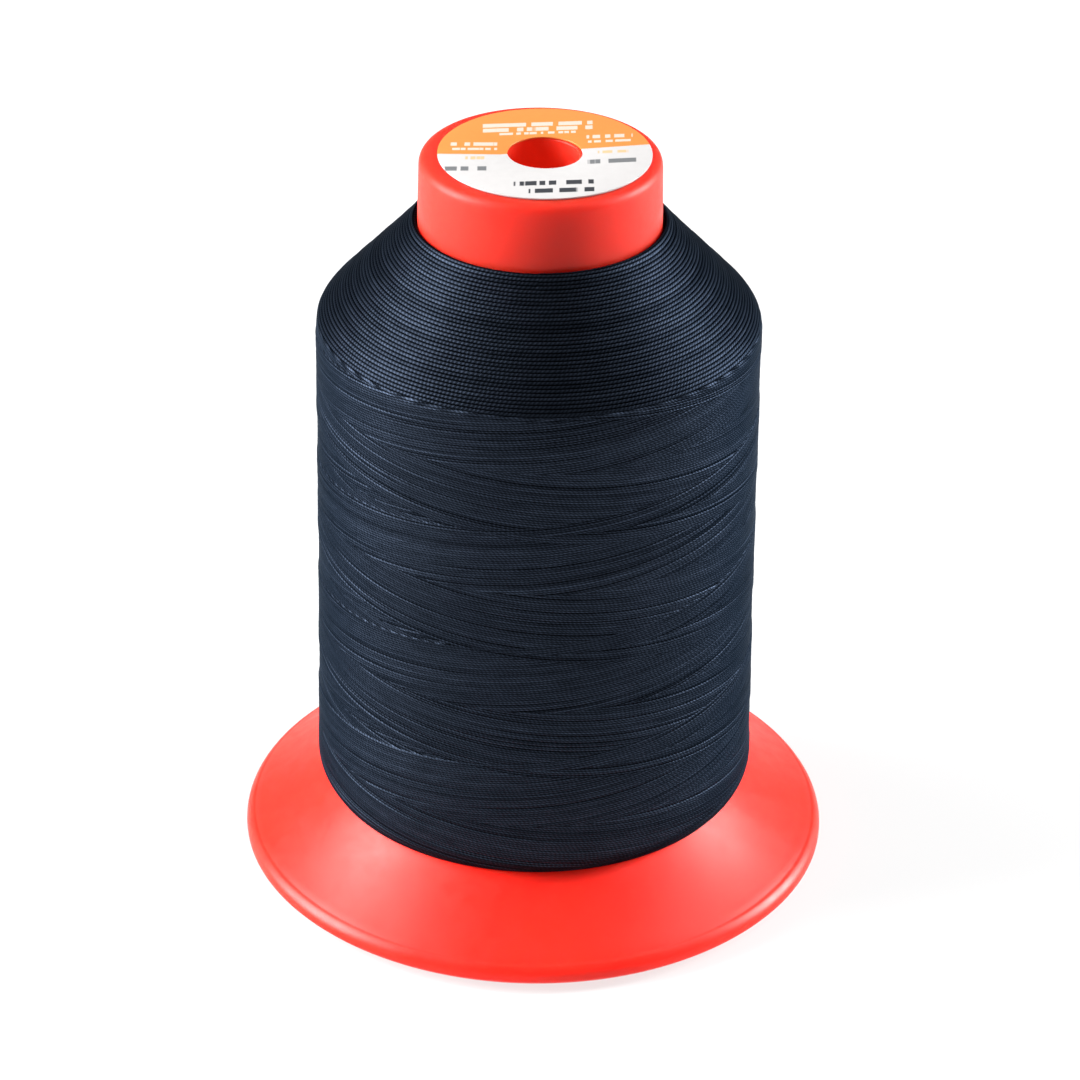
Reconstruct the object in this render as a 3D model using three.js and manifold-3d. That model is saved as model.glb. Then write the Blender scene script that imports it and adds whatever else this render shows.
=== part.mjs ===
// Spool of sewing thread: a straight moulded core with a round head and a flared foot,
// wound with one long filament thread and labelled on the top of its head.
// Millimetres, +Z up. The origin is on the spool's axis, at the surface that it stands on.
import * as THREE from 'three';
import Module from 'manifold-3d';
import { mergeVertices } from 'three/addons/utils/BufferGeometryUtils.js';

const wasm = await Module();
wasm.setup();

// ---- driving dimensions ---------------------------------------------------------------
const HEIGHT = 90;                // standing surface to the label's face
const SEGMENTS = 64;              // steps round the axis
const CURVE_STEPS = 3;            // steps along each curved stretch of an outline
const FIT = 0.3;                  // gap between two pieces that are pressed together

const LABEL_THICKNESS = 0.2;
const LABEL_RADIUS = 12;
const LABEL_HOLE_RADIUS = 4.2;
const LABEL_OFFSET = 0.45;        // the label is stuck on slightly off centre, towards +X
const LABEL_LIFT = 0.05;          // adhesive under the label

const HEAD_TOP_RADIUS = 13.65;
const HEAD_LOW_RADIUS = 13.85;    // slight moulding draft, so wider lower down
const HEAD_EDGE = 1.2;            // rounding of the head's top edge
const HEAD_DEPTH = 9.4;           // the head's side, from its top to the seam on the tube
const HEAD_PLATE = 1.4;           // thickness of the head's flat top
const BORE_RADIUS = 4.3;          // the spool pin goes through here
const COLLAR_RADIUS = 5.6;        // outside of the guide collar round the bore
const COLLAR_DEPTH = 9;           // from the head's top to the collar's lower end
const PLUG_DEPTH = 7;             // part of the cap that goes down inside the tube
const PLUG_WALL = 1.3;

const TUBE_RADIUS = 13.6;
const TUBE_WALL = 1.3;
const TUBE_CHAMFER = 0.4;

const FOOT_RADIUS = 35;           // widest circle of the foot's lip
const LIP_WAIST = 1.5;            // height of that circle
const LIP_GROUND_RADIUS = 33;     // the lip's outside at the standing surface
const LIP_WIDTH = 1.5;            // flat ring that the foot stands on
const LIP_BULGE = 0.2;
const CREASE_RADIUS = 34.05;      // where the skirt meets the lip
const CREASE_HEIGHT = 3.3;
const SKIRT_RADIUS = 25.7;        // where the skirt goes under the winding
const SKIRT_HEIGHT = 9.3;
const SKIRT_WALL = 1.9;           // measured straight down
const SKIRT_HOLLOW = 0.2;         // how far the skirt is dished below a straight cone
const NECK_RADIUS = 15.5;         // socket that grips the tube
const NECK_HEIGHT = 26;
const NECK_BASE_HEIGHT = 18.4;    // where the skirt runs into the neck
const SEAT_HEIGHT = 7;            // ledge that the tube's lower end stands on
const SEAT_THICKNESS = 1.6;
const SEAT_RADIUS = 10.6;         // opening through the ledge
const SOCKET_LOW = 2.6;           // height of the socket wall's lower end
const RIB_COUNT = 4;
const RIB_THICKNESS = 1.2;
const RIB_LOW = 2.6;
const RIB_REACH = 32.9;           // how far out the ribs go, into the lip
const RIB_BITE = 0.8;             // how deep a rib runs into the skirt and the socket

const WINDING_TOP = 81.95;        // the thread meets the head here
const SHOULDER_TOP = [15, 81.25]; // radius and height of the shoulder cone's two ends
const SHOULDER_LOW = [24.7, 70.9];
const BODY_TOP = [25.45, 69.3];   // and of the nearly straight body's two ends
const BODY_LOW = [26.05, 12.3];
const WINDING_END = [25.1, 10.25];
const SHOULDER_BULGE = 0.2;
const END_BULGE = 0.35;

// ---- sizes worked out from those -------------------------------------------------------
const headTop = HEIGHT - LABEL_THICKNESS - LABEL_LIFT;
const seam = headTop - HEAD_DEPTH;
const tubeInner = TUBE_RADIUS - TUBE_WALL;
const socketRadius = TUBE_RADIUS + FIT;

// ---- shared shapes ---------------------------------------------------------------------
// An outline of (radius, height) points, drawn anticlockwise round the material.
class Outline extends THREE.Shape {
  // A shallow curve to the next point, bowed outwards from the material by the bulge.
  bowTo(radius, height, bulge) {
    const from = this.currentPoint;
    const along = new THREE.Vector2(radius - from.x, height - from.y);
    const reach = 2 * bulge / along.length();
    const middle = new THREE.Vector2(from.x + along.x / 2, from.y + along.y / 2);
    this.quadraticCurveTo(middle.x + reach * along.y, middle.y - reach * along.x, radius, height);
  }

  // The closed ring that the outline makes when it is turned about +Z.
  turned() {
    const points = this.getPoints(CURVE_STEPS);
    points.push(points[0].clone());
    const geometry = new THREE.LatheGeometry(points, SEGMENTS);
    geometry.rotateX(Math.PI / 2);
    return geometry;
  }

  // A plate of even thickness, standing on edge along +X.
  plate(thickness) {
    const geometry = new THREE.ExtrudeGeometry(this, { depth: thickness, bevelEnabled: false });
    geometry.translate(0, 0, -thickness / 2);
    geometry.rotateX(Math.PI / 2);
    return geometry;
  }
}

function toSolid(geometry) {
  const bare = geometry.clone();
  bare.deleteAttribute('normal');
  bare.deleteAttribute('uv');
  const merged = mergeVertices(bare, 1e-4);
  return new wasm.Manifold(new wasm.Mesh({
    numProp: 3,
    vertProperties: new Float32Array(merged.attributes.position.array),
    triVerts: new Uint32Array(merged.index.array),
  }));
}

function toGeometry(solid) {
  const mesh = solid.getMesh();
  const geometry = new THREE.BufferGeometry();
  geometry.setAttribute('position', new THREE.BufferAttribute(mesh.vertProperties, 3));
  geometry.setIndex(new THREE.BufferAttribute(mesh.triVerts, 1));
  geometry.computeVertexNormals();
  return geometry;
}

// ---- foot: lip, dished skirt and socket in one moulding, with ribs underneath -----------
function footShell() {
  const lipInner = LIP_GROUND_RADIUS - LIP_WIDTH;
  const outline = new Outline();
  outline.moveTo(lipInner, 0);
  outline.lineTo(LIP_GROUND_RADIUS, 0);
  outline.bowTo(FOOT_RADIUS, LIP_WAIST, LIP_BULGE);
  outline.bowTo(CREASE_RADIUS, CREASE_HEIGHT, LIP_BULGE);
  outline.bowTo(SKIRT_RADIUS, SKIRT_HEIGHT, -SKIRT_HOLLOW);
  outline.bowTo(NECK_RADIUS, NECK_BASE_HEIGHT, -SKIRT_HOLLOW);
  outline.lineTo(NECK_RADIUS, NECK_HEIGHT);
  outline.lineTo(socketRadius, NECK_HEIGHT);
  outline.lineTo(socketRadius, SEAT_HEIGHT);
  outline.lineTo(SEAT_RADIUS, SEAT_HEIGHT);
  outline.lineTo(SEAT_RADIUS, SEAT_HEIGHT - SEAT_THICKNESS);
  outline.lineTo(socketRadius, SEAT_HEIGHT - SEAT_THICKNESS);
  outline.lineTo(socketRadius, SOCKET_LOW);
  outline.lineTo(NECK_RADIUS, SOCKET_LOW);
  outline.lineTo(NECK_RADIUS, NECK_BASE_HEIGHT - SKIRT_WALL);
  outline.bowTo(SKIRT_RADIUS, SKIRT_HEIGHT - SKIRT_WALL, SKIRT_HOLLOW);
  outline.bowTo(lipInner, CREASE_HEIGHT - SKIRT_WALL + LIP_WIDTH, SKIRT_HOLLOW);
  return outline.turned();
}

function footRib() {
  const inner = NECK_RADIUS - RIB_BITE;
  const underSkirt = RIB_BITE - SKIRT_WALL;
  const outline = new Outline();
  outline.moveTo(inner, RIB_LOW + RIB_BITE);
  outline.lineTo(RIB_REACH, RIB_LOW);
  outline.lineTo(RIB_REACH, CREASE_HEIGHT);
  outline.lineTo(SKIRT_RADIUS, SKIRT_HEIGHT + underSkirt);
  outline.lineTo(inner, NECK_BASE_HEIGHT + underSkirt);
  return outline.plate(RIB_THICKNESS);
}

function foot() {
  let solid = toSolid(footShell());
  for (let i = 0; i < RIB_COUNT; i++) {
    const rib = footRib();
    rib.rotateZ((i + 0.5) * 2 * Math.PI / RIB_COUNT);
    solid = solid.add(toSolid(rib));
  }
  return toGeometry(solid);
}

// ---- core tube: straight and open at both ends, standing on the foot's ledge ------------
function coreTube() {
  const bottom = SEAT_HEIGHT + FIT;
  const top = seam - FIT;
  const outline = new Outline();
  outline.moveTo(tubeInner, bottom);
  outline.lineTo(TUBE_RADIUS - TUBE_CHAMFER, bottom);
  outline.lineTo(TUBE_RADIUS, bottom + TUBE_CHAMFER);
  outline.lineTo(TUBE_RADIUS, top);
  outline.lineTo(tubeInner, top);
  return outline.turned();
}

// ---- head cap: rounded cap, bore with a guide collar, plug inside the tube ---------------
function headCap() {
  const plugOuter = tubeInner - FIT;
  const plugInner = plugOuter - PLUG_WALL;
  const edge = headTop - HEAD_EDGE;
  const outline = new Outline();
  outline.moveTo(plugOuter, seam);
  outline.lineTo(HEAD_LOW_RADIUS, seam);
  outline.lineTo(HEAD_TOP_RADIUS, edge);
  outline.absarc(HEAD_TOP_RADIUS - HEAD_EDGE, edge, HEAD_EDGE, 0, Math.PI / 2);
  outline.lineTo(BORE_RADIUS, headTop);
  outline.lineTo(BORE_RADIUS, headTop - COLLAR_DEPTH);
  outline.lineTo(COLLAR_RADIUS, headTop - COLLAR_DEPTH);
  outline.lineTo(COLLAR_RADIUS, headTop - HEAD_PLATE);
  outline.lineTo(plugInner, headTop - HEAD_PLATE);
  outline.lineTo(plugInner, seam - PLUG_DEPTH);
  outline.lineTo(plugOuter, seam - PLUG_DEPTH);
  return outline.turned();
}

// ---- label: thin paper disc with a hole ---------------------------------------------------
function topLabel() {
  const under = HEIGHT - LABEL_THICKNESS;
  const outline = new Outline();
  outline.moveTo(LABEL_HOLE_RADIUS, under);
  outline.lineTo(LABEL_RADIUS, under);
  outline.lineTo(LABEL_RADIUS, HEIGHT);
  outline.lineTo(LABEL_HOLE_RADIUS, HEIGHT);
  return outline.turned();
}

// ---- thread: the whole winding as one closed ring round the foot's neck and the core -------
function winding() {
  const onTube = TUBE_RADIUS + FIT;
  const onNeck = NECK_RADIUS + FIT;
  const onHead = HEAD_LOW_RADIUS + FIT;
  const outline = new Outline();
  outline.moveTo(...WINDING_END);
  outline.bowTo(...BODY_LOW, END_BULGE);
  outline.lineTo(...BODY_TOP);
  outline.bowTo(...SHOULDER_LOW, SHOULDER_BULGE);
  outline.lineTo(...SHOULDER_TOP);
  outline.bowTo(onHead, WINDING_TOP, SHOULDER_BULGE);
  outline.lineTo(onHead, seam - FIT);
  outline.lineTo(onTube, seam - FIT);
  outline.lineTo(onTube, NECK_HEIGHT + FIT);
  outline.lineTo(onNeck, NECK_HEIGHT + FIT);
  outline.lineTo(onNeck, NECK_BASE_HEIGHT + FIT);
  outline.bowTo(...WINDING_END, SKIRT_HOLLOW);
  return outline.turned();
}

// ---- assembly --------------------------------------------------------------------------------
function material(color, roughness) {
  return new THREE.MeshStandardMaterial({ color, roughness, metalness: 0 });
}

function named(name, geometry, finish) {
  const mesh = new THREE.Mesh(geometry, finish);
  mesh.name = name;
  return mesh;
}

const glossRed = material(0xff3a24, 0.3);
const satinRed = material(0xdd3a2a, 0.45);
const paper = material(0xf2b27a, 0.6);
const navyThread = material(0x161c28, 0.6);

const label = named('top_label', topLabel(), paper);
label.position.x = LABEL_OFFSET;

const spool = new THREE.Group();
spool.add(named('foot', foot(), glossRed));
spool.add(named('core_tube', coreTube(), satinRed));
spool.add(named('head_cap', headCap(), satinRed));
spool.add(label);
spool.add(named('thread_winding', winding(), navyThread));

export default spool;
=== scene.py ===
# Spool of navy sewing thread on a red moulded core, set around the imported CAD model.
# The spool's own sizes are in millimetres. Camera, lights, floor and the bump heights and
# glow depths of the materials are in metres.
import math

import bmesh
import bpy
import numpy as np
from mathutils import Matrix, Vector


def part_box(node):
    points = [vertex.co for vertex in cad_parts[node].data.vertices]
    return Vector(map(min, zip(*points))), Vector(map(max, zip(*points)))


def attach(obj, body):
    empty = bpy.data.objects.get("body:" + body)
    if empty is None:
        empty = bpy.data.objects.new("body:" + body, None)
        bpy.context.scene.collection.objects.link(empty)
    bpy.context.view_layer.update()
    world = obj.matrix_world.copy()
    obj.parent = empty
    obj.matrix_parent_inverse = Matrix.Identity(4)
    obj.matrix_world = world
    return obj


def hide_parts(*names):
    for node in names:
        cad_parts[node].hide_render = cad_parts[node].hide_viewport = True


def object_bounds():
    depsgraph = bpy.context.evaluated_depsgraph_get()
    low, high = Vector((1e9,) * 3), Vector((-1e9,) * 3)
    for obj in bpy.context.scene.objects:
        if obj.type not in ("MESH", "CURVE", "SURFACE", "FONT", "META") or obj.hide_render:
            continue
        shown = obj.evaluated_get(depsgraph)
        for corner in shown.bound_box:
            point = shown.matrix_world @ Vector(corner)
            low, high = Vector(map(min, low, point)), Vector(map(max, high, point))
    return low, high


MM = 0.001
FULL_TURN = 2 * math.pi
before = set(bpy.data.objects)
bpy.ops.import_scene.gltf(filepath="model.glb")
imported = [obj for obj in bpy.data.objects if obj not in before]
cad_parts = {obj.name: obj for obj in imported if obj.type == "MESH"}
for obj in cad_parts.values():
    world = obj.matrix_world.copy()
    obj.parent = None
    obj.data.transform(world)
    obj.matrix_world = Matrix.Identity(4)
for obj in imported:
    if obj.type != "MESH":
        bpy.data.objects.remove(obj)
cad_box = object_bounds()

# ---- sizes taken from the CAD nodes: lowest and highest corner ---------------------------
label_low, label_high = (np.array(c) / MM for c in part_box("top_label"))
head_low, head_high = (np.array(c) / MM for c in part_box("head_cap"))
foot_high = np.array(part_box("foot")[1]) / MM
tube_low, tube_high = (np.array(c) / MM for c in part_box("core_tube"))

HEAD_TOP = head_high[2]
HEAD_PLUG_END = head_low[2]
LABEL_CENTRE = (label_low[0] + label_high[0]) / 2
LABEL_RADIUS = (label_high[0] - label_low[0]) / 2
FOOT_RADIUS = foot_high[0]
TUBE_RADIUS = tube_high[0]
TUBE_LOW, TUBE_HIGH = tube_low[2], tube_high[2]

# ---- camera ------------------------------------------------------------------------------
CAMERA_BACK = 0.40446            # in front of the spool's axis
CAMERA_UP = 0.27521
CAMERA_PITCH = math.radians(30.178)
CAMERA_YAW = math.radians(0.060)
CAMERA_ROLL = math.radians(0.696)
CAMERA_CLIP = (0.01, 20.0)
LENS = 132.41
SENSOR_WIDTH = 36.0

# ---- lights and floor --------------------------------------------------------------------
WORLD_STRENGTH = 0.25
SOFTBOX_AIM = (0.0, 0.0, 0.045)
# name, place, size, radiance
SOFTBOXES = [
    ("softbox_left", (-0.63, -0.03, 0.29), (0.40, 0.48), 26.0),
    ("softbox_right", (0.62, 0.15, 0.22), (0.20, 0.36), 43.0),
    ("softbox_high_left", (-0.444, 0.078, 0.645), (0.30, 0.30), 9.0),
    ("softbox_high_right", (0.444, 0.078, 0.645), (0.20, 0.30), 7.0),
]
FLOOR_HALF = 3.0
FLOOR_MIDDLE = (0.0, 0.12, 0.0)  # the floor is brightest here
FLOOR_FADE = (0.18, 0.8)         # distances from the middle between which it changes
FLOOR_GLOW = (0.74, 0.42)        # its own light, near and far
FLOOR_TONE = (0.20, 0.24)        # its base colour, near and far

# ---- moulded parts -----------------------------------------------------------------------
ROUND = 256                      # steps round the turned parts
WALL = 1.3                       # of the tube and of the head's plug
BORE_RADIUS = 4.3
COLLAR_RADIUS = 5.6
COLLAR_LENGTH = 9.0
HEAD_SEAM_RADIUS = 13.85
HEAD_TOP_RADIUS = 13.65
HEAD_THICKNESS = 1.4
SEAM_GAP = 0.3
PLUG_RADIUS = TUBE_RADIUS - 1.6
LABEL_HOLE_RADIUS = 4.2
LABEL_EDGE = 0.06
CORNER_SHARE = 0.45              # of a side, that the rounding of one corner may use up

# foot: points are (radius, height), and a bulge is how far a curve bows from the straight line
SKIRT_BULGE = 0.2
LIP_BULGE = 0.25
FOOT_BASE = [(31.65, 0.0), (32.7, 0.0), (32.92, 0.06), (33.08, 0.22)]
FOOT_WAIST = (FOOT_RADIUS, 1.5)
FOOT_LIP = (34.3, 3.14)
FOOT_CREASE = [(34.17, 3.22), (34.04, 3.27), (33.92, 3.33), (33.8, 3.43)]
SKIRT_BEND = (25.7, 9.3)
SKIRT_TOP = 18.4
NECK_RADIUS = 15.5
SOCKET_RADIUS = TUBE_RADIUS + 0.3
# from the neck's top down through the socket, with its stop ring, and up under the skirt
FOOT_SOCKET = [
    (NECK_RADIUS, 25.7), (NECK_RADIUS - 0.3, 26.0), (SOCKET_RADIUS, 26.0), (SOCKET_RADIUS, 7.0),
    (10.8, 7.0), (10.6, 6.8), (10.6, 5.6), (10.8, 5.4), (SOCKET_RADIUS, 5.4),
    (SOCKET_RADIUS, 2.8), (SOCKET_RADIUS + 0.2, 2.6), (NECK_RADIUS - 0.2, 2.6),
    (NECK_RADIUS, 2.8), (NECK_RADIUS, 16.5),
]
UNDER_BEND = (25.7, 7.4)
UNDER_EDGE = (31.5, 2.9)
UNDER_LOW = (31.5, 0.15)
RIB_OUTLINE = [(NECK_RADIUS - 0.8, 3.4), (32.9, 2.6), (32.9, 3.3), (25.7, 8.2),
               (NECK_RADIUS - 0.8, 17.3)]
RIB_COUNT = 4
RIB_HALF_WIDTH = 0.6
RIB_BEVEL = 0.15

# ---- looks of the plastic ----------------------------------------------------------------
GLOSS_DEEP = (0.95, 0.015, 0.006)
GLOSS_BRIGHT = (0.98, 0.019, 0.008)
SATIN_DEEP = (0.65, 0.020, 0.010)
SATIN_BRIGHT = (0.69, 0.024, 0.012)
BORE_GLOW = 0.25                 # painted glow: emission on the bore's wall, standing in for light that its thin wall lets through
BORE_GLOW_COLOUR = (1.0, 0.022, 0.006)
BORE_GLOW_FADE = (4.45 * MM, 4.75 * MM)
GLOW_SPREAD = (1.0, 0.12, 0.06)  # how far red, green and blue travel in the plastic

# ---- looks of the label ------------------------------------------------------------------
PAPER_WHITE = (0.465, 0.453, 0.449)
PAPER_ORANGE = (0.60, 0.195, 0.042)
PRINT_PALE = (0.54, 0.44, 0.37)
PRINT_ORANGE = (0.62, 0.36, 0.20)
PRINT_GREY = (0.13, 0.135, 0.14)
PRINT_BLACK = (0.028, 0.03, 0.036)
FIELD_BEND = 4.6                 # from this far left, the line between the fields rises
FIELD_RISE = 0.19
FIELD_DROP = 0.7                 # the line's flat part lies this far below the centre
FIELD_EDGE = 0.06
BAR_EDGE = 0.05
BAR_OFFSET = 9.0                 # between bars, in the noise that breaks them into words
WORD_RATE = 0.9                  # words along a bar, for its height
WORD_GAPS = (0.42, 0.46)         # noise values between which a bar of print breaks off
# ink, then bars as (x, y, width, height, slope)
PRINT = [
    (PRINT_PALE, [
        (-0.4, 7.6, 12.4, 1.0, 0.108), (-0.4, 6.3, 12.4, 1.0, 0.108),
        (-0.4, 5.2, 8.6, 0.6, 0.108), (-7.5, 2.0, 5.2, 0.9, 0.03),
        (-7.5, 0.7, 5.2, 0.6, 0.03), (7.7, 4.6, 5.2, 0.9, 0.12),
        (7.7, 3.3, 5.0, 0.6, 0.12)]),
    (PRINT_ORANGE, [(-7.1, -1.65, 2.6, 0.8, 0.05), (8.05, 0.45, 3.4, 0.7, 0.12)]),
    (PRINT_GREY, [(-8.3, -4.5, 4.6, 1.1, 0.04), (7.9, -2.0, 5.4, 1.1, 0.14)]),
    (PRINT_BLACK, [(1.45, -7.9, 8.8, 1.1, 0.10), (2.3, -9.8, 7.2, 1.1, 0.10)]),
]

# ---- looks of the thread -----------------------------------------------------------------
# painted shade and highlight: the thread's colour runs from the first value at strand edges and
# between ply dashes to the second on strand crowns and ply tops
THREAD_PAINTED_SHADE = (0.003, 0.004, 0.006)
THREAD_BRIGHT = (0.034, 0.045, 0.068)
THREAD_EDGE_TINT = (0.42, 0.46, 0.5)
THREAD_ROUGHNESS = 0.49
HOLLOW_ROUGHNESS = 0.8
HOLLOW_PAINTED_SHADE = 0.03               # painted shade: share of the colour that is left deep between strands, where shade falls
CROWN_POWER = 0.6
PLY_LENGTH = 0.5                 # along the strand, from one dash to the next
PLY_SLANT = 0.38                 # in turns of the ply, across half a strand
PLY_STEP = 0.23                  # from each strand to the next
PLY_CHANCE = 0.5                 # at random from strand to strand
PLY_WANDER = 1.5                 # slowly along a strand
PLY_PAINTED_SHADE = 0.6                  # painted shade: how much of the colour fades between dashes
PLY_RELIEF = 0.2                 # share of the bump, the rest is the strand's round crown
THREAD_BUMP = 0.00009
WANDER_RATE = 0.35
WANDER_OFFSET = 7.0              # between strands, in the noise that they share

# ---- shape of the winding ----------------------------------------------------------------
# outside, from the head down to the foot, then the hidden inside back up: (radius, height)
WINDING_OUTSIDE = [
    (13.98, 81.85), (14.45, 81.98), (15.15, 81.15), (16.2, 80.0), (19.0, 77.0), (21.85, 74.0),
    (23.7, 72.05), (24.65, 71.0), (25.2, 70.15), (25.4, 69.3), (25.44, 66.5), (25.48, 61.0),
    (25.56, 50.0), (25.68, 34.0), (25.93, 18.0), (26.02, 13.6), (25.92, 11.5), (25.25, 10.1),
]
WINDING_INSIDE = [
    (24.6, 10.5), (20.0, 14.7), (15.9, 18.9), (15.8, 26.3),
    (13.92, 26.5), (13.92, 60.0), (13.92, 79.9), (13.95, 81.3),
]
COLUMNS = 420                    # points round the winding
SEED = 11

# shoulder: one spiral of close turns
SHOULDER_LENGTH = 16.6           # along the outline, from the head to the last turn
SHOULDER_BLEND = (-0.1, 0.9)     # about its end, where the body's strands take over
SHOULDER_PAINTED_SHADE = 0.56             # painted shade: mean brightness that its turns are darkened to
RING_PITCH = 0.45
RING_RELIEF = 0.15
RING_FILL = 0.86                 # share of the pitch that a strand fills
RING_COUNT = 64
RING_LIFT_SPREAD = 0.02
RING_TONE_SPREAD = 0.14
ROWS_PER_RING = 7

# body: leads of parallel strands, laid in two directions over each other
PITCH = 0.2906                   # between neighbouring strands
STRANDS = 53                     # strands side by side in one lead
LEAD = PITCH * STRANDS
CROSS_HEIGHT = 55.5              # where the two directions cross, and its azimuth
CROSS_ANGLE = math.radians(-22)
STACK = 0.14                     # height that the strands of one lead build up
STACK_INSIDE = 0.82              # share of it that lies inside the outline
STRAND_RELIEF = 0.05
STRAND_LIFT_SPREAD = 0.014
STRAND_TONE = (0.89, 0.15)       # mean and spread
KNOT_SPACING = 4.0               # heights at which a strand's own values are drawn
KNOTS = 24
GAP_DEPTH = 0.10
GAP_WIDTH = 0.085
GAP_CHANCE = (0.76, 0.92)        # drawn values between which a gap opens
GAP_NEWER = 0.16                 # added to the draw for the newest strands
END_RUNOUT = 0.5                 # above the foot, where the relief runs out
HOLLOW_REACH = 2                 # rows on each side that the surface is compared with
HOLLOW_DEPTH = 0.05
ROWS_PER_STRAND = 4


# ---- camera and stage --------------------------------------------------------------------
def add_camera():
    data = bpy.data.cameras.new("camera")
    data.lens = LENS
    data.sensor_width = SENSOR_WIDTH
    data.clip_start, data.clip_end = CAMERA_CLIP
    camera = bpy.data.objects.new("camera", data)
    bpy.context.scene.collection.objects.link(camera)
    forward = Vector((math.sin(CAMERA_YAW) * math.cos(CAMERA_PITCH),
                      math.cos(CAMERA_YAW) * math.cos(CAMERA_PITCH),
                      -math.sin(CAMERA_PITCH)))
    right = Vector((math.cos(CAMERA_YAW), -math.sin(CAMERA_YAW), 0.0))
    up = right.cross(forward)
    c, s = math.cos(CAMERA_ROLL), math.sin(CAMERA_ROLL)
    axes = Matrix((c * right + s * up, c * up - s * right, -forward)).transposed()
    camera.matrix_world = Matrix.Translation((0, -CAMERA_BACK, CAMERA_UP)) @ axes.to_4x4()
    bpy.context.scene.camera = camera


def add_softbox(name, place, size, radiance):
    data = bpy.data.lights.new(name, "AREA")
    data.shape = "RECTANGLE"
    data.size, data.size_y = size
    data.energy = radiance * math.pi * size[0] * size[1]
    light = bpy.data.objects.new(name, data)
    light.location = place
    aim = Vector(SOFTBOX_AIM) - Vector(place)
    light.rotation_euler = aim.to_track_quat("-Z", "Y").to_euler()
    bpy.context.scene.collection.objects.link(light)


def floor_material():
    """Pale paper with its own glow, so that the spool throws hardly any shadow."""
    mat, tree = new_material("floor_paper")
    noise = tree.add("ShaderNodeTexNoise", Scale=14.0, Detail=3.0)
    grain = tree.ramp(noise.outputs["Fac"], [(0.3, (0.97, 0.97, 0.97)), (0.7, (1.0, 1.0, 1.0))])
    away = tree.add("ShaderNodeVectorMath", {"operation": "DISTANCE"})
    away.inputs[1].default_value = FLOOR_MIDDLE
    tree.give(away.inputs[0], tree.place())
    distance = away.outputs["Value"]
    tone = tree.range(distance, *FLOOR_FADE, *FLOOR_TONE, smooth=True)
    glow = tree.range(distance, *FLOOR_FADE, *FLOOR_GLOW, smooth=True)
    tree.surface(Base_Color=tree.mix(1.0, grain, tone, "MULTIPLY"), Roughness=0.9,
                 Specular_IOR_Level=0.0, Emission_Color=(1.0, 1.0, 1.0), Emission_Strength=glow)
    return mat


def add_stage():
    world = bpy.data.worlds.new("studio")
    world.use_nodes = True
    background = world.node_tree.nodes["Background"]
    background.inputs["Color"].default_value = (1.0, 1.0, 1.0, 1.0)
    background.inputs["Strength"].default_value = WORLD_STRENGTH
    bpy.context.scene.world = world
    bpy.context.scene.view_settings.view_transform = "Standard"

    mesh = bpy.data.meshes.new("floor")
    half = FLOOR_HALF
    corners = [(-half, -half, 0), (half, -half, 0), (half, half, 0), (-half, half, 0)]
    mesh.from_pydata(corners, [], [(0, 1, 2, 3)])
    floor = bpy.data.objects.new("floor", mesh)
    floor.location.z = cad_box[0][2]
    bpy.context.scene.collection.objects.link(floor)
    floor.data.materials.append(floor_material())

    for softbox in SOFTBOXES:
        add_softbox(*softbox)


# ---- node helpers ------------------------------------------------------------------------
class Tree:
    """A material's node tree, with short calls for the nodes used here."""

    def __init__(self, node_tree):
        self.nodes = node_tree.nodes
        self.links = node_tree.links
        self.shader = self.nodes["Principled BSDF"]

    def give(self, socket, value):
        """Links a node's output to the socket, or sets the socket's own value."""
        if hasattr(value, "is_linked"):
            self.links.new(value, socket)
        elif socket.type == "RGBA":
            socket.default_value = (*value, 1.0)
        else:
            socket.default_value = value

    def fill(self, node, inputs):
        for name, value in inputs.items():
            self.give(node.inputs[name.replace("_", " ")], value)

    def surface(self, **inputs):
        self.fill(self.shader, inputs)

    def add(self, kind, props=None, **inputs):
        node = self.nodes.new(kind)
        for name, value in (props or {}).items():
            setattr(node, name, value)
        self.fill(node, inputs)
        return node

    def math(self, operation, *values, clamp=False):
        node = self.add("ShaderNodeMath", {"operation": operation, "use_clamp": clamp})
        for socket, value in zip(node.inputs, values):
            self.give(socket, value)
        return node.outputs[0]

    def total(self, *values):
        result = values[0]
        for value in values[1:]:
            result = self.math("ADD", result, value)
        return result

    def attribute(self, name):
        node = self.add("ShaderNodeAttribute", {"attribute_name": name})
        return node.outputs["Fac"]

    def place(self):
        return self.add("ShaderNodeTexCoord").outputs["Object"]

    def xyz(self, vector):
        return self.add("ShaderNodeSeparateXYZ", Vector=vector).outputs

    def ramp(self, value, stops):
        node = self.add("ShaderNodeValToRGB", Fac=value)
        for element, (at, colour) in zip(node.color_ramp.elements, stops):
            element.position = at
            element.color = (*colour, 1.0)
        return node.outputs["Color"]

    def range(self, value, low, high, to_low, to_high, smooth=False):
        kind = "SMOOTHSTEP" if smooth else "LINEAR"
        node = self.add("ShaderNodeMapRange", {"interpolation_type": kind}, Value=value,
                        From_Min=low, From_Max=high, To_Min=to_low, To_Max=to_high)
        return node.outputs["Result"]

    def mix(self, factor, a, b, blend="MIX"):
        node = self.add("ShaderNodeMix", {"data_type": "RGBA", "blend_type": blend})
        for index, value in ((0, factor), (6, a), (7, b)):     # the colour mix's own sockets
            self.give(node.inputs[index], value)
        return node.outputs[2]

    def bump(self, height, distance, strength=1.0, **inputs):
        node = self.add("ShaderNodeBump", Height=height, Distance=distance, Strength=strength,
                        **inputs)
        return node.outputs["Normal"]


def new_material(name):
    mat = bpy.data.materials.new(name)
    mat.use_nodes = True
    return mat, Tree(mat.node_tree)


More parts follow.
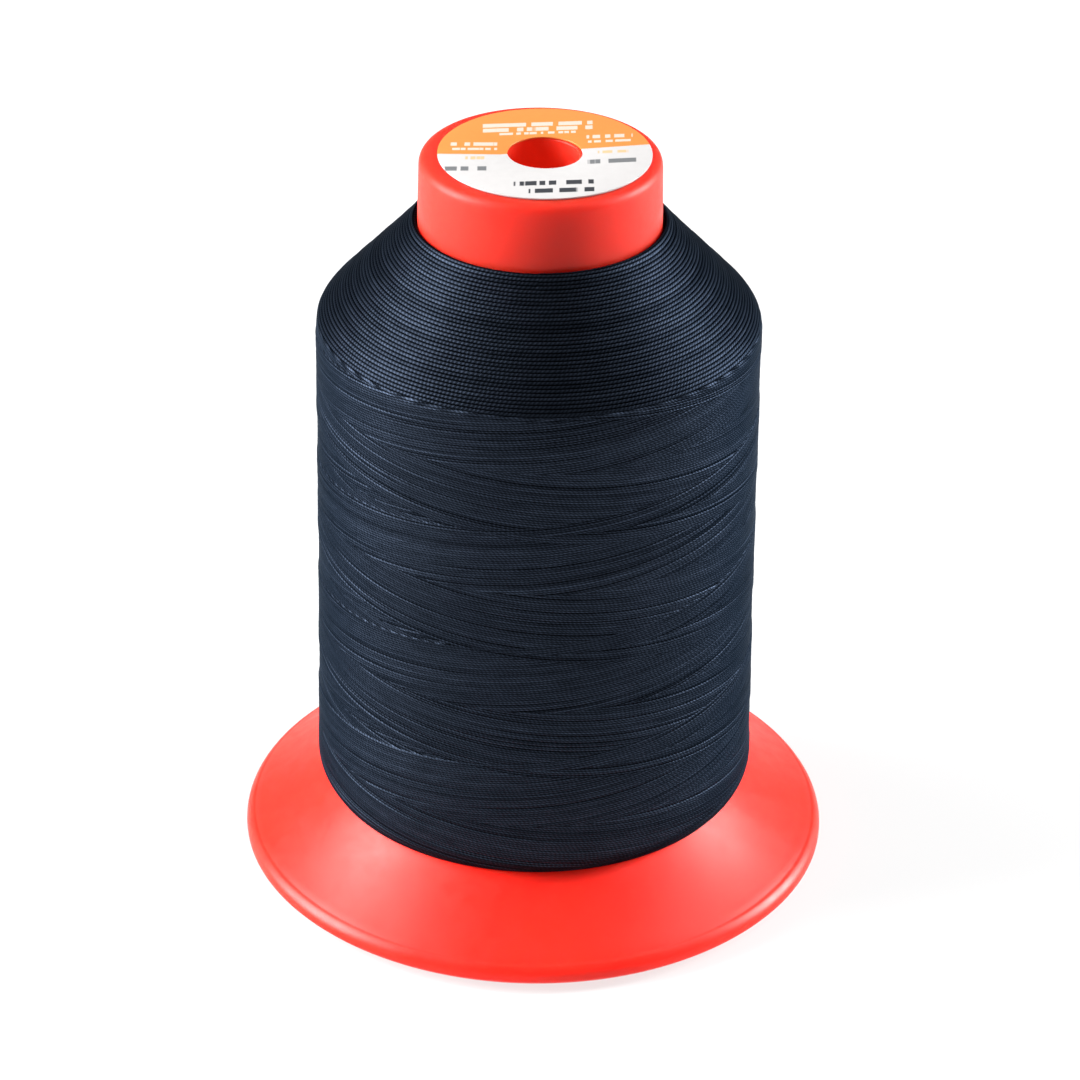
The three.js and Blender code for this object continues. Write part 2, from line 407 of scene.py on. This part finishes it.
# ---- materials ---------------------------------------------------------------------------
def plastic(name, deep, bright, roughness, grain, grain_scale, specular, glow_depth,
            bore_glow=0.0):
    """Coloured moulded plastic: slow colour change, fine surface grain and faint scuffs."""
    mat, tree = new_material(name)
    place = tree.place()
    slow = tree.add("ShaderNodeTexNoise", Vector=place, Scale=55.0, Detail=3.0)
    colour = tree.ramp(slow.outputs["Fac"], [(0.35, deep), (0.65, bright)])
    scuff = tree.add("ShaderNodeTexNoise", Vector=place, Scale=420.0, Detail=4.0, Roughness=0.7)
    worn = tree.range(scuff.outputs["Fac"], 0.3, 0.75, roughness - 0.05, roughness + 0.09)
    fine = tree.add("ShaderNodeTexNoise", Vector=place, Scale=grain_scale, Detail=2.0)
    wave = tree.add("ShaderNodeTexNoise", Vector=place, Scale=160.0, Detail=1.0)
    swell = tree.bump(wave.outputs["Fac"], distance=0.00012, strength=0.35)
    # painted glow: emission on the wall close about the bore
    if bore_glow:
        x, y, _ = tree.xyz(place)
        squares = (tree.math("MULTIPLY", a, a) for a in (x, y))
        off_axis = tree.math("SQRT", tree.total(*squares))
        tree.surface(Emission_Strength=tree.range(off_axis, *BORE_GLOW_FADE, bore_glow, 0.0),
                     Emission_Color=BORE_GLOW_COLOUR)
    tree.surface(Base_Color=colour, Roughness=worn, Specular_IOR_Level=specular,
                 Normal=tree.bump(fine.outputs["Fac"], distance=grain, Normal=swell),
                 Subsurface_Weight=0.8, Subsurface_Radius=GLOW_SPREAD,
                 Subsurface_Scale=glow_depth)
    return mat


def printed_bar(tree, x, y, cx, cy, width, height, slope):
    """1 inside a slanting bar that breaks into words, with edges as soft as print."""
    dx = tree.math("SUBTRACT", x, cx)
    dy = tree.math("SUBTRACT", tree.math("SUBTRACT", y, cy), tree.math("MULTIPLY", dx, slope))
    cover = 1.0
    for off, size in ((dx, width), (dy, height)):
        inside = tree.range(tree.math("ABSOLUTE", off), size / 2 - BAR_EDGE,
                            size / 2 + BAR_EDGE, 1.0, 0.0)
        cover = tree.math("MULTIPLY", cover, inside)
    beat = tree.add("ShaderNodeTexNoise", {"noise_dimensions": "1D"}, Scale=WORD_RATE / height,
                    Detail=1.0, W=tree.math("ADD", dx, BAR_OFFSET * cy))
    words = tree.range(beat.outputs["Fac"], *WORD_GAPS, 0.0, 1.0)
    return tree.math("MULTIPLY", cover, words)


def printed_paper():
    """Label: two printed fields that meet on a rising line, with short plain bars as print."""
    mat, tree = new_material("label_print")
    place = tree.place()
    x, y, _ = tree.xyz(place)
    x = tree.math("MULTIPLY", x, 1 / MM)
    y = tree.math("MULTIPLY", y, 1 / MM)
    past_bend = tree.math("MAXIMUM", tree.math("ADD", x, FIELD_BEND), 0.0)
    line = tree.math("SUBTRACT", tree.math("MULTIPLY", past_bend, FIELD_RISE), FIELD_DROP)
    field = tree.range(tree.math("SUBTRACT", y, line), -FIELD_EDGE, FIELD_EDGE, 0.0, 1.0)
    colour = tree.mix(field, PAPER_WHITE, PAPER_ORANGE)
    for ink, bars in PRINT:
        cover = 0.0
        for shape in bars:
            cover = tree.math("MAXIMUM", cover, printed_bar(tree, x, y, *shape))
        colour = tree.mix(cover, colour, ink)
    fibre = tree.add("ShaderNodeTexNoise", Vector=place, Scale=900.0, Detail=4.0)
    mottle = tree.range(fibre.outputs["Fac"], 0.3, 0.7, 0.96, 1.0)
    tree.surface(Base_Color=tree.mix(1.0, colour, mottle, "MULTIPLY"), Roughness=0.42,
                 Normal=tree.bump(fibre.outputs["Fac"], distance=0.00002, strength=0.6),
                 Specular_IOR_Level=0.35)
    return mat


def thread_material():
    """Twisted filament thread, from the winding's own values.

    across counts strands, along is millimetres along a strand, fill is the share of the pitch
    that a strand fills, hollow is 1 deep between strands, and tone is the strand's brightness,
    which differs at random and on the shoulder is also darkened as painted shade.
    """
    mat, tree = new_material("filament_thread")
    across, along, hollow, tone, fill = (
        tree.attribute(name) for name in ("across", "along", "hollow", "tone", "fill"))

    strand = tree.math("FLOOR", across)
    t = tree.math("MULTIPLY", tree.math("SUBTRACT", across, strand), 2.0)
    t = tree.math("SUBTRACT", t, 1.0)
    edge = tree.math("DIVIDE", t, fill)
    crown = tree.math("SUBTRACT", 1.0, tree.math("MULTIPLY", edge, edge), clamp=True)
    crown = tree.math("POWER", crown, CROWN_POWER)

    # the two plies show as slanting dashes, one step on from each strand to the next
    chance = tree.add("ShaderNodeTexWhiteNoise", {"noise_dimensions": "1D"}, W=strand)
    where = tree.add("ShaderNodeCombineXYZ", X=along,
                     Y=tree.math("MULTIPLY", strand, WANDER_OFFSET))
    wander = tree.add("ShaderNodeTexNoise", Vector=where.outputs[0], Scale=WANDER_RATE,
                      Detail=2.0)
    turn = tree.total(
        tree.math("MULTIPLY", along, 1 / PLY_LENGTH),
        tree.math("MULTIPLY", t, PLY_SLANT),
        tree.math("MULTIPLY", strand, PLY_STEP),
        tree.math("MULTIPLY", chance.outputs["Value"], PLY_CHANCE),
        tree.math("MULTIPLY", wander.outputs["Fac"], PLY_WANDER))
    wave = tree.math("COSINE", tree.math("MULTIPLY", turn, FULL_TURN))
    ply = tree.range(wave, -1.0, 1.0, 0.0, 1.0)

    # painted highlight and shade: the colour is brightest on strand crowns and ply tops, and
    # fades at strand edges and between dashes
    cover = tree.math("MULTIPLY", tree.range(ply, 0.0, 1.0, 1.0 - PLY_PAINTED_SHADE, 1.0), crown)
    painted_light_and_shade = tree.mix(cover, THREAD_PAINTED_SHADE, THREAD_BRIGHT)
    uneven = tree.range(wander.outputs["Fac"], 0.3, 0.7, 0.8, 1.2)
    # tone carries the strands' random brightness and, on the shoulder, painted shade
    toned = tree.mix(1.0, painted_light_and_shade, tree.math("MULTIPLY", tone, uneven), "MULTIPLY")
    # painted shade: the colour darkens deep between strands
    hollow_shade = tree.range(hollow, 0.0, 1.0, 1.0, HOLLOW_PAINTED_SHADE)
    height = tree.total(tree.math("MULTIPLY", crown, 1.0 - PLY_RELIEF),
                        tree.math("MULTIPLY", ply, PLY_RELIEF))
    tree.surface(Base_Color=tree.mix(1.0, toned, hollow_shade, "MULTIPLY"),
                 Roughness=tree.range(hollow, 0.0, 1.0, THREAD_ROUGHNESS, HOLLOW_ROUGHNESS),
                 Normal=tree.bump(height, distance=THREAD_BUMP),
                 Metallic=1.0, Specular_Tint=THREAD_EDGE_TINT)
    return mat


# ---- turned pieces -----------------------------------------------------------------------
def quadratic(start, mid, end, steps, first=1):
    """Points of the curve from start to end that leans towards mid."""
    ts = (i / steps for i in range(first, steps + 1))
    return [tuple((1 - t) ** 2 * a + 2 * t * (1 - t) * m + t * t * b
                  for a, m, b in zip(start, mid, end)) for t in ts]


def bow(start, end, bulge, steps=8):
    """Points of a shallow curve from start to end, without its start."""
    (r0, z0), (r1, z1) = start, end
    reach = 2 * bulge / math.hypot(r1 - r0, z1 - z0)
    mid = ((r0 + r1) / 2 + reach * (z1 - z0), (z0 + z1) / 2 - reach * (r1 - r0))
    return quadratic(start, mid, end, steps)


def rounded(outline, radii, steps):
    """A closed outline with each corner rounded by its radius, given corner by corner."""
    points = []
    for i, radius in enumerate(radii):
        here = Vector(outline[i])
        if radius == 0:
            points.append(tuple(here))
            continue
        to_last = Vector(outline[i - 1]) - here
        to_next = Vector(outline[(i + 1) % len(outline)]) - here
        half = to_last.angle(to_next) / 2
        longest = CORNER_SHARE * min(to_last.length, to_next.length)
        cut = min(radius / math.tan(half), longest)
        points += quadratic(here + to_last.normalized() * cut, here,
                            here + to_next.normalized() * cut, steps, first=0)
    return points


def ring_mesh(name, grid):
    """A closed mesh from rows of points, each row a full circle."""
    rows, steps = grid.shape[:2]
    mesh = bpy.data.meshes.new(name)
    row = np.arange(rows)[:, None]
    col = np.arange(steps)[None, :]
    below, beside = (row + 1) % rows, (col + 1) % steps
    quads = np.stack([row * steps + col, row * steps + beside,
                      below * steps + beside, below * steps + col], -1).reshape(-1, 4)
    mesh.vertices.add(rows * steps)
    mesh.vertices.foreach_set("co", grid.reshape(-1).astype(np.float32))
    mesh.loops.add(quads.size)
    mesh.loops.foreach_set("vertex_index", quads.reshape(-1).astype(np.int32))
    mesh.polygons.add(len(quads))
    mesh.polygons.foreach_set("loop_start", np.arange(0, quads.size, 4, dtype=np.int32))
    mesh.polygons.foreach_set("loop_total", np.full(len(quads), 4, np.int32))
    mesh.update(calc_edges=True)
    mesh.polygons.foreach_set("use_smooth", np.ones(len(quads), bool))
    mesh.update()
    piece = bpy.data.objects.new(name, mesh)
    bpy.context.scene.collection.objects.link(piece)
    return piece


def turned(name, outline, centre=0.0):
    """The ring that a closed (radius, height) outline makes about an axis at x = centre."""
    points = np.array(outline)
    angle = np.linspace(0, FULL_TURN, ROUND, endpoint=False)
    x = centre + points[:, :1] * np.sin(angle)
    y = -points[:, :1] * np.cos(angle)
    z = np.repeat(points[:, 1:], ROUND, axis=1)
    piece = ring_mesh(name, np.stack([x, y, z], -1) * MM)
    made = bmesh.new()
    made.from_mesh(piece.data)
    bmesh.ops.recalc_face_normals(made, faces=made.faces)
    made.to_mesh(piece.data)
    made.free()
    return piece


def stands_for(piece, node, material):
    piece.data.materials.append(material)
    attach(piece, "root")
    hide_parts(node)


def add_head(material):
    seam = TUBE_HIGH + SEAM_GAP
    plug_inside = PLUG_RADIUS - WALL
    under = HEAD_TOP - HEAD_THICKNESS
    outline = [(PLUG_RADIUS, seam), (HEAD_SEAM_RADIUS, seam), (HEAD_TOP_RADIUS, HEAD_TOP),
               (BORE_RADIUS, HEAD_TOP), (BORE_RADIUS, HEAD_TOP - COLLAR_LENGTH),
               (COLLAR_RADIUS, HEAD_TOP - COLLAR_LENGTH), (COLLAR_RADIUS, under),
               (plug_inside, under), (plug_inside, HEAD_PLUG_END), (PLUG_RADIUS, HEAD_PLUG_END)]
    radii = [0.2, 0.15, 1.25, 0.25, 0.2, 0.2, 0.3, 0.3, 0.3, 0.3]
    head = turned("head_cap_moulding", rounded(outline, radii, 8))
    stands_for(head, "head_cap", material)


def add_tube(material):
    outer, inner = TUBE_RADIUS, TUBE_RADIUS - WALL
    outline = [(inner, TUBE_LOW), (outer, TUBE_LOW), (outer, TUBE_HIGH), (inner, TUBE_HIGH)]
    tube = turned("core_tube_moulding", rounded(outline, [0.2, 0.4, 0.2, 0.2], 4))
    stands_for(tube, "core_tube", material)


def add_label(material):
    low, high = label_low[2], label_high[2]
    outline = [(LABEL_HOLE_RADIUS, low), (LABEL_RADIUS, low),
               (LABEL_RADIUS, high), (LABEL_HOLE_RADIUS, high)]
    points = rounded(outline, [0, 0, LABEL_EDGE, LABEL_EDGE], 3)
    label = turned("label_print_disc", points, centre=LABEL_CENTRE)
    stands_for(label, "top_label", material)


def add_foot(material):
    outline = list(FOOT_BASE)
    outline += bow(FOOT_BASE[-1], FOOT_WAIST, SKIRT_BULGE)
    outline += bow(FOOT_WAIST, FOOT_LIP, LIP_BULGE)
    outline += FOOT_CREASE
    outline += bow(FOOT_CREASE[-1], SKIRT_BEND, -SKIRT_BULGE, 14)
    outline += bow(SKIRT_BEND, (NECK_RADIUS, SKIRT_TOP), -SKIRT_BULGE, 10)
    outline += FOOT_SOCKET
    outline += bow(FOOT_SOCKET[-1], UNDER_BEND, SKIRT_BULGE, 8)
    outline += bow(UNDER_BEND, UNDER_EDGE, SKIRT_BULGE, 6)
    outline.append(UNDER_LOW)
    foot = turned("foot_moulding", outline)
    stands_for(foot, "foot", material)


def add_ribs(material):
    """Thin plates under the skirt, with softened edges."""
    made = bmesh.new()
    for i in range(RIB_COUNT):
        turn = Matrix.Rotation((i + 0.5) * FULL_TURN / RIB_COUNT, 4, "Z")
        sides = [[made.verts.new(turn @ Vector((r, y, z)) * MM) for r, z in RIB_OUTLINE]
                 for y in (-RIB_HALF_WIDTH, RIB_HALF_WIDTH)]
        made.faces.new(sides[0])
        made.faces.new(sides[1][::-1])
        for k in range(len(RIB_OUTLINE)):
            made.faces.new([sides[0][k - 1], sides[1][k - 1], sides[1][k], sides[0][k]])
    bmesh.ops.recalc_face_normals(made, faces=made.faces)
    bmesh.ops.bevel(made, geom=made.edges[:], offset=RIB_BEVEL * MM, segments=2, affect="EDGES")
    mesh = bpy.data.meshes.new("foot_ribs")
    made.to_mesh(mesh)
    made.free()
    ribs = bpy.data.objects.new("foot_ribs", mesh)
    bpy.context.scene.collection.objects.link(ribs)
    stands_for(ribs, "foot", material)


# ---- winding -----------------------------------------------------------------------------
def curve_through(points, steps=24):
    """Catmull-Rom curve through the points."""
    p = np.array([points[0], *points, points[-1]], float)
    t = np.linspace(0, 1, steps, endpoint=False)[:, None]
    parts = []
    for a, b, c, d in zip(p, p[1:], p[2:], p[3:]):
        parts.append(0.5 * (2 * b + (c - a) * t + (2 * a - 5 * b + 4 * c - d) * t ** 2
                            + (3 * b - a - 3 * c + d) * t ** 3))
    return np.vstack([*parts, p[-1:]])


def fade(x, low, high):
    t = np.clip((x - low) / (high - low), 0, 1)
    return t * t * (3 - 2 * t)


class Family:
    """Strands of one direction: sign 1 rises to the right, sign -1 falls to the right."""

    def __init__(self, sign, rng):
        self.sign = sign
        self.shift = -sign * CROSS_HEIGHT / LEAD + CROSS_ANGLE / FULL_TURN
        self.lift = rng.normal(0, STRAND_LIFT_SPREAD, (STRANDS, KNOTS))
        self.gap = rng.random((STRANDS, KNOTS))
        self.tone = rng.normal(*STRAND_TONE, (STRANDS, KNOTS))

    def along(self, table, strand, z):
        """The table's value on each strand at each height, changing smoothly between knots."""
        at = np.clip(z / KNOT_SPACING, 0, KNOTS - 1.001)
        low = at.astype(int)
        f = fade(at - low, 0, 1)
        who = np.mod(strand, STRANDS).astype(int)
        return table[who, low] * (1 - f) + table[who, low + 1] * f

    def across(self, angle, z):
        return (z - self.sign * LEAD * angle / FULL_TURN) / PITCH

    def toned(self, angle, z):
        return self.along(self.tone, np.floor(self.across(angle, z)), z)

    def height(self, angle, z):
        """Height over the outline, and how newly the strand was laid, from 0 to 1."""
        w = self.across(angle, z)
        strand = np.floor(w)
        t = 2 * (w - strand) - 1
        laid = np.mod(self.sign * (strand + 0.5) * PITCH / LEAD + self.shift, 1)
        edge = np.round(w)
        gap = self.along(self.gap, edge, z)
        depth = GAP_DEPTH * fade(gap + GAP_NEWER * laid ** 3, *GAP_CHANCE)
        dist = (w - edge) * PITCH
        h = STACK * laid + STRAND_RELIEF * (1 - t * t) + self.along(self.lift, strand, z)
        return h - depth * np.exp(-(dist / GAP_WIDTH) ** 2), laid


class Rings:
    """The close turns of the shoulder."""

    def __init__(self, rng):
        self.lift = rng.normal(0, RING_LIFT_SPREAD, RING_COUNT)
        self.tone = rng.normal(1.0, RING_TONE_SPREAD, RING_COUNT)

    def across(self, angle, s):
        return s / RING_PITCH - angle / FULL_TURN

    def ring(self, angle, s):
        return np.clip(np.floor(self.across(angle, s)), 0, RING_COUNT - 2).astype(int)

    def height(self, angle, s):
        turns = self.across(angle, s)
        t = 2 * (turns - np.floor(turns)) - 1
        crown = np.sqrt(np.clip(1 - (t / RING_FILL) ** 2, 0, 1)) - 1
        who = self.ring(angle, s)
        spin = np.mod(angle / FULL_TURN, 1)
        return RING_RELIEF * crown + self.lift[who] * (1 - spin) + self.lift[who + 1] * spin


def hollowness(h):
    """How far each point lies below the rows about it, from 0 to 1."""
    reach = HOLLOW_REACH
    padded = np.pad(h, ((reach, reach), (0, 0)), mode="edge")
    summed = np.cumsum(np.vstack([np.zeros((1, h.shape[1])), padded]), axis=0)
    mean = (summed[2 * reach + 1:] - summed[:-2 * reach - 1]) / (2 * reach + 1)
    return np.clip((mean - h) / HOLLOW_DEPTH, 0, 1)


def add_values(mesh, name, domain, values):
    made = mesh.attributes.new(name, "FLOAT", domain)
    made.data.foreach_set("value", values.reshape(-1).astype(np.float32))


def add_winding(material):
    rng = np.random.default_rng(SEED)
    right, left, rings = Family(1, rng), Family(-1, rng), Rings(rng)

    # rows down the outline: s is the length along it, out points away from the winding
    line = curve_through(WINDING_OUTSIDE)
    length = np.concatenate([[0], np.cumsum(np.hypot(*np.diff(line, axis=0).T))])
    total = length[-1]
    s = np.concatenate([
        np.arange(0, SHOULDER_LENGTH, RING_PITCH / ROWS_PER_RING),
        np.arange(SHOULDER_LENGTH, total, PITCH / ROWS_PER_STRAND), [total]])
    radius, height = (np.interp(s, length, line[:, i])[:, None] for i in (0, 1))
    slope_r, slope_z = (
        np.interp(s, length, np.gradient(line[:, i], length))[:, None] for i in (0, 1))
    size = np.hypot(slope_r, slope_z)
    out_r, out_z = -slope_z / size, slope_r / size
    outer = len(s)
    s = s[:, None]
    angle = np.linspace(-math.pi, math.pi, COLUMNS, endpoint=False)[None, :]

    # relief: the newer strand lies on top, then each column is averaged with its neighbours
    h_right, laid_right = right.height(angle, height)
    h_left, laid_left = left.height(angle, height)
    on_right = laid_right > laid_left
    body = np.where(on_right, h_right, h_left) - STACK_INSIDE * STACK
    body = (np.roll(body, 1, axis=1) + 2 * body + np.roll(body, -1, axis=1)) / 4
    on_body = fade(s, *(SHOULDER_LENGTH + b for b in SHOULDER_BLEND))
    h = rings.height(angle, s) * (1 - on_body) + body * on_body
    h = h * fade(total - s, 0.0, END_RUNOUT)

    inside = np.array(WINDING_INSIDE)
    r, z = (np.vstack([shape, np.repeat(hidden[:, None], COLUMNS, axis=1)]) for shape, hidden in
            zip((radius + h * out_r, height + h * out_z), inside.T))
    grid = np.stack([r * np.sin(angle), -r * np.cos(angle), z], -1) * MM
    piece = ring_mesh("thread_wound", grid)

    # values at each row of the mesh; z and s have one more, for the faces that close it
    hidden = len(inside)
    r_row = np.vstack([radius, inside[:, :1]])
    z_row = np.vstack([height, inside[:, 1:], height[:1]])
    s_row = np.vstack([s, np.full((hidden + 1, 1), total)])
    is_body = np.vstack([s >= SHOULDER_LENGTH, np.zeros((hidden, 1), bool)])
    is_right = np.vstack([on_right, np.zeros((hidden, COLUMNS), bool)])

    # one value per face corner, in the order that ring_mesh gives a face its corners
    rows = len(grid)
    step = FULL_TURN / COLUMNS
    across, along = (np.zeros((rows, COLUMNS, 4), np.float32) for _ in range(2))
    for k, (down, beside) in enumerate(((0, 0), (0, 1), (1, 1), (1, 0))):
        a = angle + beside * step
        z_here, s_here = z_row[down:down + rows], s_row[down:down + rows]
        strand = np.where(is_right, right.across(a, z_here), left.across(a, z_here))
        across[:, :, k] = np.where(is_body, strand, rings.across(a, s_here))
        along[:, :, k] = a * r_row

    middle = ((z_row[:-1] + z_row[1:]) / 2)[:outer]
    body_tone = np.where(on_right, right.toned(angle + step / 2, middle),
                         left.toned(angle + step / 2, middle))
    # painted shade on the shoulder's turns, times their random tone
    ring_tone_and_shade = SHOULDER_PAINTED_SHADE * rings.tone[rings.ring(angle, s)]
    tone = np.ones((rows, COLUMNS))
    tone[:outer] = np.where(is_body[:outer], body_tone, ring_tone_and_shade)
    fill = np.where(is_body, 1.0, RING_FILL) * np.ones((1, COLUMNS))
    hollow = np.ones((rows, COLUMNS))
    hollow[:outer] = hollowness(h)
    add_values(piece.data, "across", "CORNER", across)
    add_values(piece.data, "along", "CORNER", along)
    add_values(piece.data, "tone", "CORNER", np.repeat(tone[:, :, None], 4, axis=2))
    add_values(piece.data, "fill", "CORNER", np.repeat(fill[:, :, None], 4, axis=2))
    add_values(piece.data, "hollow", "POINT", hollow)
    stands_for(piece, "thread_winding", material)


add_camera()
add_stage()
gloss = plastic("gloss_red_plastic", GLOSS_DEEP, GLOSS_BRIGHT, roughness=0.38, grain=0.000003,
                grain_scale=5000.0, specular=0.29, glow_depth=0.001)
satin = plastic("satin_red_plastic", SATIN_DEEP, SATIN_BRIGHT, roughness=0.44, grain=0.000010,
                grain_scale=3500.0, specular=0.20, glow_depth=0.010, bore_glow=BORE_GLOW)
add_foot(gloss)
add_ribs(gloss)
add_tube(satin)
add_head(satin)
add_label(printed_paper())
add_winding(thread_material())
